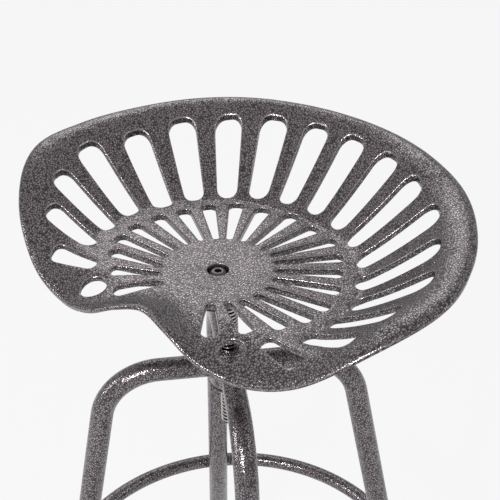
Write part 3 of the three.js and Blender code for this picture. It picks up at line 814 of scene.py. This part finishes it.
def to_azimuth(points, azimuth):
    """Points given as out, sideways and up, turned about the Z axis to an azimuth from +X."""
    turn = math.radians(azimuth)
    out, side, up = points[..., 0], points[..., 1], points[..., 2]
    return np.stack([out * math.cos(turn) - side * math.sin(turn),
                     out * math.sin(turn) + side * math.cos(turn), up], axis=-1)


class Legs(bpy.types.Operator):
    """Make the four bent tube legs and the beads that weld them to the hub"""

    bl_idname = "stool.legs"
    bl_label = "Legs"

    def execute(self, context):
        sizes = context.scene.stool_frame
        for name, azimuth in zip(LEG_NAMES, LEG_AZIMUTHS):
            mesh = mesh_from(f"tube_{name}", [to_azimuth(self.tube(sizes), azimuth)])
            place(mesh, coat_material(), "base", "frame_coat", f"leg_{name}")
            mesh = mesh_from(f"hub_weld_{name}", [to_azimuth(self.hub_bead(sizes), azimuth)])
            place(mesh, coat_material(), "base", "frame_coat")
        return {"FINISHED"}

    def tube(self, sizes):
        """Circles carried along a line that runs level out of the hub, round an arc and straight down and
        out. The first circle is drawn back along the run until it lies inside the hub's wall, and each end
        closes on its own centre."""
        first_ring, mid_height, sink = 12 * MM, 0.25, 1 * MM
        bend = math.radians(90 - sizes.splay)
        turn = np.concatenate([[0, 0], np.linspace(0, bend, 33), [bend] * 2])
        out = sizes.leg_run + sizes.bend_radius * np.sin(turn)
        level = sizes.leg_level - sizes.bend_radius * (1 - np.cos(turn))
        out[:2] = sizes.hub_radius, sizes.hub_radius + first_ring
        level[-2:] = mid_height, sizes.leg_end
        out[-2:] = leg_reach(sizes, mid_height), leg_reach(sizes, sizes.leg_end)
        angle = around(sizes.sides)[None]
        outer = sizes.leg_radius * np.cos(angle)
        side = sizes.leg_radius * np.sin(angle)
        tilt = turn[:, None]
        grid = np.stack([out[:, None] + outer * np.sin(tilt), side + 0 * tilt,
                         level[:, None] + outer * np.cos(tilt)], axis=-1)
        grid[0, :, 0] = np.sqrt((sizes.hub_radius - sink) ** 2 - side[0] ** 2)
        ends = [grid[:1].mean(axis=1, keepdims=True), grid[-1:].mean(axis=1, keepdims=True)]
        ends = [np.broadcast_to(end, (1, sizes.sides, 3)) for end in ends]
        return np.concatenate([ends[0], grid, ends[1]])

    def hub_bead(self, sizes):
        """The bead follows the curve in which the tube meets the hub: as high and as wide as the tube, and as
        far out as the hub's surface there."""
        turn, ripples = around(120), 22
        reach = sizes.leg_radius + GAP
        side, up = reach * np.sin(turn), reach * np.cos(turn)
        out = np.sqrt((sizes.hub_radius + GAP) ** 2 - side ** 2)
        path = np.stack([out, side, sizes.leg_level + up], axis=-1)
        normals = np.stack([0 * turn, np.sin(turn), np.cos(turn)], axis=-1)
        return beaded(path, normals, sizes.bead, ripples)


class FootrestRing(bpy.types.Operator):
    """Make the footrest ring and the beads that weld it to the legs"""

    bl_idname = "stool.footrest_ring"
    bl_label = "Footrest ring"

    def execute(self, context):
        sizes = context.scene.stool_frame
        low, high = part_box("footrest_ring")
        tube = (high.z - low.z) / 2
        radius, level = (high.x - low.x) / 2 - tube, (high.z + low.z) / 2
        turn, angle = around(256)[:, None], around(sizes.sides)[None]
        reach = radius + tube * np.cos(angle)
        up = level + tube * np.sin(angle) + 0 * turn
        grid = np.stack([reach * np.cos(turn), reach * np.sin(turn), up], axis=-1)
        grid = np.concatenate([grid, grid[:1]])
        place(mesh_from("footrest", [grid]), coat_material(), "base", "frame_coat", "footrest_ring")
        for name, azimuth in zip(LEG_NAMES, LEG_AZIMUTHS):
            bead = self.ring_bead(sizes, radius - tube, tube, level)
            mesh = mesh_from(f"ring_weld_{name}", [to_azimuth(bead, azimuth)])
            place(mesh, coat_material(), "base", "frame_coat")
        return {"FINISHED"}

    def ring_bead(self, sizes, contact, tube, level):
        """The bead goes round the place where the ring touches the leg, midway between the two tubes, whose
        surfaces draw apart by the square of the distance over twice their radius. The leg's lean is added."""
        half_width, half_height, ripples = 5.4 * MM, 5 * MM, 16
        turn = around(90)
        side, up = half_width * np.cos(turn), half_height * np.sin(turn)
        apart = up ** 2 / (2 * tube) - side ** 2 / (2 * sizes.leg_radius)
        out = contact - GAP / 2 + apart / 2 - up * math.tan(math.radians(sizes.splay)) / 2
        path = np.stack([out, side, level + up], axis=-1)
        normals = np.stack([0 * turn, np.cos(turn), np.sin(turn)], axis=-1)
        return beaded(path, normals, sizes.bead, ripples)


class Feet(bpy.types.Operator):
    """Make the four ribbed rubber feet"""

    bl_idname = "stool.feet"
    bl_label = "Feet"

    def execute(self, context):
        sizes = context.scene.stool_frame
        for name, azimuth in zip(LEG_NAMES, LEG_AZIMUTHS):
            mesh = mesh_from(f"rubber_foot_{name}", [to_azimuth(self.cap(sizes), azimuth)])
            place(mesh, rubber_material(), "base", "foot_rubber", f"foot_{name}")
        return {"FINISHED"}

    def cap(self, sizes):
        """A cap turned about the leg's end. Its rows run between the floor, which cuts the tilted cap flat,
        and its top: each point's height along the tube goes from where its column meets the floor to the
        cap's length. Three grooves run round it, and its lower edge and mouth are rounded."""
        grip, groove_depth, soft = 0.05 * MM, 0.7 * MM, 1.4 * MM
        lip, lip_rise, mouth = 0.8 * MM, 0.5 * MM, 0.2 * MM
        groove_shares, groove_out_share, groove_in_share = (0.42, 0.56, 0.7), 0.045, 0.02
        sides = 64
        inner = sizes.leg_radius + grip
        outer = sizes.leg_radius + GAP + sizes.foot_wall
        tilt = math.radians(sizes.splay)
        rise = np.linspace(0, 1, 49)
        groove = sum(smoothstep(np.abs(rise - at), groove_out_share, groove_in_share) for at in groove_shares)
        turn = np.linspace(0, np.pi / 2, 6)
        along = np.concatenate([np.zeros(2), 0 * turn, rise, [1, 0.995, 0.9]])
        radius = np.concatenate([[0, outer / 2], outer - soft * (1 - np.sin(turn)),
                                 outer - groove_depth * groove, [outer - lip, inner + mouth, inner]])
        lift = np.concatenate([np.zeros(2), soft * (1 - np.cos(turn)), soft * (1 - rise), [lip_rise, 0, 0]])
        angle = around(sides)[None]
        end_out, end_up = leg_reach(sizes, sizes.leg_end), sizes.leg_end
        across = radius[:, None] * np.cos(angle)
        floor = -(end_up + across * math.sin(tilt)) / math.cos(tilt)
        station = floor + (sizes.foot_height - floor) * along[:, None] + lift[:, None]
        station = np.minimum(station, sizes.foot_height)
        out = end_out + across * math.cos(tilt) - station * math.sin(tilt)
        up = end_up + across * math.sin(tilt) + station * math.cos(tilt)
        grid = np.stack([out, radius[:, None] * np.sin(angle) + 0 * out, np.maximum(up, 0)], axis=-1)
        end = np.broadcast_to(grid[-1:].mean(axis=1, keepdims=True), (1, sides, 3))
        return np.concatenate([grid, end])


def add(tree, kind, inputs=None, **settings):
    """Adds one shader node: settings are its own values, and inputs give each socket a value or a link."""
    node = tree.nodes.new("ShaderNode" + kind)
    for key, value in settings.items():
        setattr(node, key, value)
    for socket, value in (inputs or {}).items():
        if isinstance(value, bpy.types.NodeSocket):
            tree.links.new(value, node.inputs[socket])
        else:
            node.inputs[socket].default_value = value
    return node


def scale_of(size_mm):
    """The scale of a texture whose features are that many millimetres across."""
    return 1 / (size_mm * MM)


def new_material(name):
    """An empty material, or the one of that name that is already there, and whether it is new."""
    old = bpy.data.materials.get(name)
    if old:
        return old, False
    material = bpy.data.materials.new(name)
    material.use_nodes = True
    material.node_tree.nodes.clear()
    return material, True


def finish_with(material, shader):
    """Links a shader to the material's output."""
    output = add(material.node_tree, "OutputMaterial", {"Surface": shader.outputs[0]})
    output.is_active_output = True
    return material


def coat_material():
    """Silver vein powder coat, oven cured: bright pewter islands in a black net, each about 2.3 mm across,
    under a clear gloss. Cast waviness and the bumpy skin break its highlights into grains. In the walls of
    the seat's holes, which its recess attribute marks, the islands are thinned out as painted shade, so that
    the walls look nearly black. On the edges they are merged into a pale line as a painted highlight, which
    draws the outline of each hole."""
    material, fresh = new_material("silver_vein_powder_coat")
    if not fresh:
        return material
    finish, tree = bpy.context.scene.stool_finish, material.node_tree
    where = add(tree, "TexCoord").outputs["Object"]
    warp = add(tree, "TexNoise", {"Vector": where, "Scale": scale_of(2.381), "Detail": 1.0})
    bent = add(tree, "VectorMath", {0: warp.outputs["Color"], 1: (0.9 * MM,) * 3}, operation="MULTIPLY")
    moved = add(tree, "VectorMath", {0: where, 1: bent.outputs[0]}, operation="ADD")
    cells = add(tree, "TexVoronoi", {"Vector": moved.outputs[0], "Scale": scale_of(2.2727),
                                     "Randomness": 1.0}, feature="DISTANCE_TO_EDGE")
    fine = add(tree, "TexNoise", {"Vector": where, "Scale": scale_of(1), "Detail": 1.0})
    island = add(tree, "MapRange", {"Value": cells.outputs["Distance"], "From Max": 0.32})
    broken = add(tree, "Math", {0: island.outputs[0], 1: fine.outputs["Fac"]}, operation="MULTIPLY")
    # The recess attribute thins the islands in the holes' walls, a painted shade, and merges them on the top
    # edges, a painted highlight
    recess = add(tree, "Attribute", attribute_name="recess")
    broken_with_painted_light = add(tree, "Math", {0: recess.outputs["Fac"], 1: -0.09, 2: broken.outputs[0]},
                  operation="MULTIPLY_ADD")
    skin = add(tree, "MapRange", {"Value": broken_with_painted_light.outputs[0], "From Min": 0.2, "From Max": 0.27})
    shade = add(tree, "Mix", {"Factor": skin.outputs[0], "A": finish.coat_dark[:], "B": finish.coat_light[:]},
                data_type="RGBA")
    metal = add(tree, "MapRange", {"Value": skin.outputs[0], "To Max": 0.9})
    rough = add(tree, "MapRange", {"Value": skin.outputs[0], "To Min": 0.5, "To Max": 0.22})
    cast = add(tree, "TexNoise", {"Vector": where, "Scale": scale_of(14.286), "Detail": 3.0})
    waves = add(tree, "Bump", {"Height": cast.outputs["Fac"], "Distance": 0.9 * MM})
    grains = add(tree, "Bump", {"Height": broken.outputs[0], "Distance": 0.15 * MM,
                                "Normal": waves.outputs[0]})
    shader = add(tree, "BsdfPrincipled", {
        "Base Color": shade.outputs["Result"], "Metallic": metal.outputs[0], "Roughness": rough.outputs[0],
        "Normal": grains.outputs[0], "Coat Weight": 1.0, "Coat Roughness": 0.09,
        "Coat Normal": grains.outputs[0]})
    return finish_with(material, shader)


def metal_material(name, tone, roughness, grain_mm, bump_strength):
    """Bare or plated metal: fine blotches vary its gloss and its surface a little."""
    material, fresh = new_material(name)
    if not fresh:
        return material
    tree = material.node_tree
    where = add(tree, "TexCoord").outputs["Object"]
    marks = add(tree, "TexNoise", {"Vector": where, "Scale": scale_of(grain_mm), "Detail": 3.0})
    tint = add(tree, "MapRange", {"Value": marks.outputs["Fac"], "To Min": 0.86, "To Max": 1.1})
    shade = add(tree, "HueSaturation", {"Color": tone[:], "Value": tint.outputs[0]})
    rough = add(tree, "MapRange", {"Value": marks.outputs["Fac"], "To Min": roughness * 0.75,
                                   "To Max": roughness * 1.3})
    bump = add(tree, "Bump", {"Height": marks.outputs["Fac"], "Strength": bump_strength,
                              "Distance": 0.2 * MM})
    shader = add(tree, "BsdfPrincipled", {"Base Color": shade.outputs[0], "Metallic": 1.0,
                                          "Roughness": rough.outputs[0], "Normal": bump.outputs[0]})
    return finish_with(material, shader)


def zinc_material():
    """Dark zinc electroplate on cold headed steel: grey and glossy, with faint mottling."""
    return metal_material("dark_zinc_plated_steel", bpy.context.scene.stool_finish.zinc, 0.26, 1.4286, 0.08)


def spindle_material():
    """Rolled thread, zinc plated: bright crests over roots that are darkened with painted shade, by the
    distance from the spindle's axis, which is the object's own Z axis."""
    material, fresh = new_material("rolled_thread_steel")
    if not fresh:
        return material
    finish, tree = bpy.context.scene.stool_finish, material.node_tree
    where = add(tree, "TexCoord").outputs["Object"]
    level = add(tree, "VectorMath", {0: where, 1: (1, 1, 0)}, operation="MULTIPLY")
    out = add(tree, "VectorMath", {0: level.outputs[0]}, operation="LENGTH")
    # painted shade: the thread's roots are darker by their distance from the axis
    crest = add(tree, "MapRange", {"Value": out.outputs["Value"], "From Min": 7.6 * MM,
                                   "From Max": 8.8 * MM})
    shade = add(tree, "Mix", {"Factor": crest.outputs[0], "A": finish.painted_root_shade[:], "B": finish.spindle[:]},
                data_type="RGBA")
    drawn = add(tree, "Mapping", {"Vector": where, "Scale": (0.3, 0.3, 4)})
    marks = add(tree, "TexNoise", {"Vector": drawn.outputs[0], "Scale": scale_of(2), "Detail": 3.0})
    rough = add(tree, "MapRange", {"Value": marks.outputs["Fac"], "To Min": 0.15, "To Max": 0.3})
    shader = add(tree, "BsdfPrincipled", {"Base Color": shade.outputs["Result"], "Metallic": 1.0,
                                          "Roughness": rough.outputs[0]})
    return finish_with(material, shader)


def rolled_material():
    """Hot rolled and oiled steel plate: dark blue-grey scale with soft blotches."""
    return metal_material("hot_rolled_steel", bpy.context.scene.stool_finish.rolled, 0.5, 6.25, 0.2)


def moulded_material(name, tone, roughness, grain_mm, bump_strength, specular):
    """A moulded polymer: an even colour with a fine spark-eroded grain from the mould."""
    material, fresh = new_material(name)
    if not fresh:
        return material
    tree = material.node_tree
    where = add(tree, "TexCoord").outputs["Object"]
    grain = add(tree, "TexNoise", {"Vector": where, "Scale": scale_of(grain_mm), "Detail": 2.0})
    tint = add(tree, "MapRange", {"Value": grain.outputs["Fac"], "To Min": 0.8, "To Max": 1.25})
    shade = add(tree, "HueSaturation", {"Color": tone[:], "Value": tint.outputs[0]})
    rough = add(tree, "MapRange", {"Value": grain.outputs["Fac"], "To Min": roughness * 0.85,
                                   "To Max": min(1.0, roughness * 1.15)})
    bump = add(tree, "Bump", {"Height": grain.outputs["Fac"], "Strength": bump_strength,
                              "Distance": 0.3 * MM})
    shader = add(tree, "BsdfPrincipled", {
        "Base Color": shade.outputs[0], "Roughness": rough.outputs[0], "Specular IOR Level": specular,
        "Normal": bump.outputs[0]})
    return finish_with(material, shader)


def nylon_material():
    """Moulded nylon 6, black: satin, with a fine mould grain."""
    return moulded_material("moulded_nylon", bpy.context.scene.stool_finish.nylon, 0.5, 0.7143, 0.15, 0.5)


def rubber_material():
    """Moulded rubber: matt black with a soft bloom and a fine grain."""
    return moulded_material("moulded_rubber", bpy.context.scene.stool_finish.rubber, 0.8, 1.1111, 0.25, 0.35)


def white_share(tree, direct, mirrored):
    """How much of its own white a surround shows: one share to the camera, and another to what mirrors it or
    lets it through."""
    path = add(tree, "LightPath")
    other = add(tree, "Math", {0: path.outputs["Is Glossy Ray"], 1: path.outputs["Is Transmission Ray"]},
                operation="MAXIMUM")
    other = add(tree, "Math", {0: other.outputs[0], 1: mirrored}, operation="MULTIPLY")
    seen = add(tree, "Math", {0: path.outputs["Is Camera Ray"], 1: direct}, operation="MULTIPLY")
    return add(tree, "Math", {0: seen.outputs[0], 1: other.outputs[0]}, operation="MAXIMUM").outputs[0]


def floor_material():
    """Matt paint on a studio floor. Most of what the camera sees, and part of what reflections see, is the
    paint's own white, so that it looks pale, and the rest keeps the stool's soft shadow."""
    material, fresh = new_material("matt_studio_paint")
    if not fresh:
        return material
    tree, tone = material.node_tree, bpy.context.scene.stool_finish.floor
    paint = add(tree, "BsdfDiffuse", {"Color": tone[:]})
    white = add(tree, "Emission", {"Color": (0.98, 0.98, 0.985, 1), "Strength": 1.0})
    share = white_share(tree, direct=0.9, mirrored=0.4)
    both = add(tree, "MixShader", {"Fac": share, 1: paint.outputs[0], 2: white.outputs[0]})
    return finish_with(material, both)


class Stage(bpy.types.Operator):
    """Make the floor, the lamps and the camera"""

    bl_idname = "stool.stage"
    bl_label = "Stage"

    def execute(self, context):
        settings = context.scene.stool_stage
        half, level = settings.floor_size / 2, -0.2 * MM
        corners = np.array([[-half, -half, level], [half, -half, level], [half, half, level],
                            [-half, half, level]])
        mesh = bpy.data.meshes.new("studio_floor")
        mesh.from_pydata(corners.tolist(), [], [(0, 1, 2, 3)])
        mesh.materials.append(floor_material())
        floor = bpy.data.objects.new("studio_floor", mesh)
        context.scene.collection.objects.link(floor)
        self.world(context, settings)
        for name, (place_at, size, power) in LAMPS.items():
            self.lamp(name, place_at, size, power)
        self.camera(context, settings)
        context.scene.view_settings.view_transform = "Standard"
        return {"FINISHED"}

    def world(self, context, settings):
        """An even pale surround, which the camera sees as near white, and which mirrors see a little whiter
        than its light."""
        world = bpy.data.worlds.new("studio")
        world.use_nodes = True
        tree = world.node_tree
        tree.nodes.clear()
        share = white_share(tree, direct=1.0, mirrored=0.1)
        seen = add(tree, "MapRange", {"Value": share, "To Min": settings.world_strength})
        sky = add(tree, "Background", {"Color": (0.96, 0.96, 0.965, 1), "Strength": seen.outputs[0]})
        add(tree, "OutputWorld", {"Surface": sky.outputs[0]})
        context.scene.world = world

    def lamp(self, name, place_at, size, power):
        """A rectangular soft box turned towards the seat."""
        light = bpy.data.lights.new(name, "AREA")
        light.shape = "RECTANGLE"
        light.size, light.size_y = size
        light.energy = power
        lamp = bpy.data.objects.new(name, light)
        lamp.location = place_at
        seat = Vector((0, 0, context_seat().disc_height))
        lamp.rotation_euler = (seat - lamp.location).to_track_quat("-Z", "Y").to_euler()
        bpy.context.scene.collection.objects.link(lamp)

    def camera(self, context, settings):
        """Camera with its view line, right and up worked out from heading, pitch and roll."""
        heading, pitch, roll = (math.radians(a) for a in (settings.azimuth, settings.pitch, settings.roll))
        view = Vector((-math.sin(heading) * math.cos(pitch), math.cos(heading) * math.cos(pitch),
                       -math.sin(pitch)))
        level = Vector((math.cos(heading), math.sin(heading), 0))
        upright = level.cross(view)
        right = level * math.cos(roll) + upright * math.sin(roll)
        up = right.cross(view)
        data = bpy.data.cameras.new("camera")
        data.lens, data.sensor_width = settings.lens_mm, settings.sensor_mm
        camera = bpy.data.objects.new("camera", data)
        turn = Matrix((right, up, -view)).transposed()
        camera.matrix_world = Matrix.Translation(
            (settings.camera_x, settings.camera_y, settings.camera_z)) @ turn.to_4x4()
        context.scene.collection.objects.link(camera)
        context.scene.camera = camera


OPERATORS = (SeatCasting, SeatFixings, ThreadedSpindle, Hub, Legs, FootrestRing, Feet, Stage)


class StoolPanel(bpy.types.Panel):
    """Lists the stool's pieces and its sizes in the sidebar"""

    bl_idname = "VIEW3D_PT_stool"
    bl_label = "Tractor seat stool"
    bl_space_type = "VIEW_3D"
    bl_region_type = "UI"
    bl_category = "Stool"

    def draw(self, context):
        for operator in OPERATORS:
            self.layout.operator(operator.bl_idname)
        for group_name, group in SCENE_GROUPS.items():
            box = self.layout.box()
            for key in group.__annotations__:
                box.prop(getattr(context.scene, group_name), key)


def register():
    """Adds the classes and gives each scene its groups of sizes."""
    for cls in (*SCENE_GROUPS.values(), *OPERATORS, StoolPanel):
        bpy.utils.register_class(cls)
    for group_name, group in SCENE_GROUPS.items():
        setattr(bpy.types.Scene, group_name, PointerProperty(type=group))


def unregister():
    """Takes the groups and the classes out again."""
    for group_name in SCENE_GROUPS:
        delattr(bpy.types.Scene, group_name)
    for cls in reversed((*SCENE_GROUPS.values(), *OPERATORS, StoolPanel)):
        bpy.utils.unregister_class(cls)


def main():
    register()
    bpy.ops.stool.seat_casting()
    bpy.ops.stool.seat_fixings()
    bpy.ops.stool.spindle()
    bpy.ops.stool.hub()
    bpy.ops.stool.legs()
    bpy.ops.stool.footrest_ring()
    bpy.ops.stool.feet()
    bpy.ops.stool.stage()


if __name__ == "__main__":
    main()
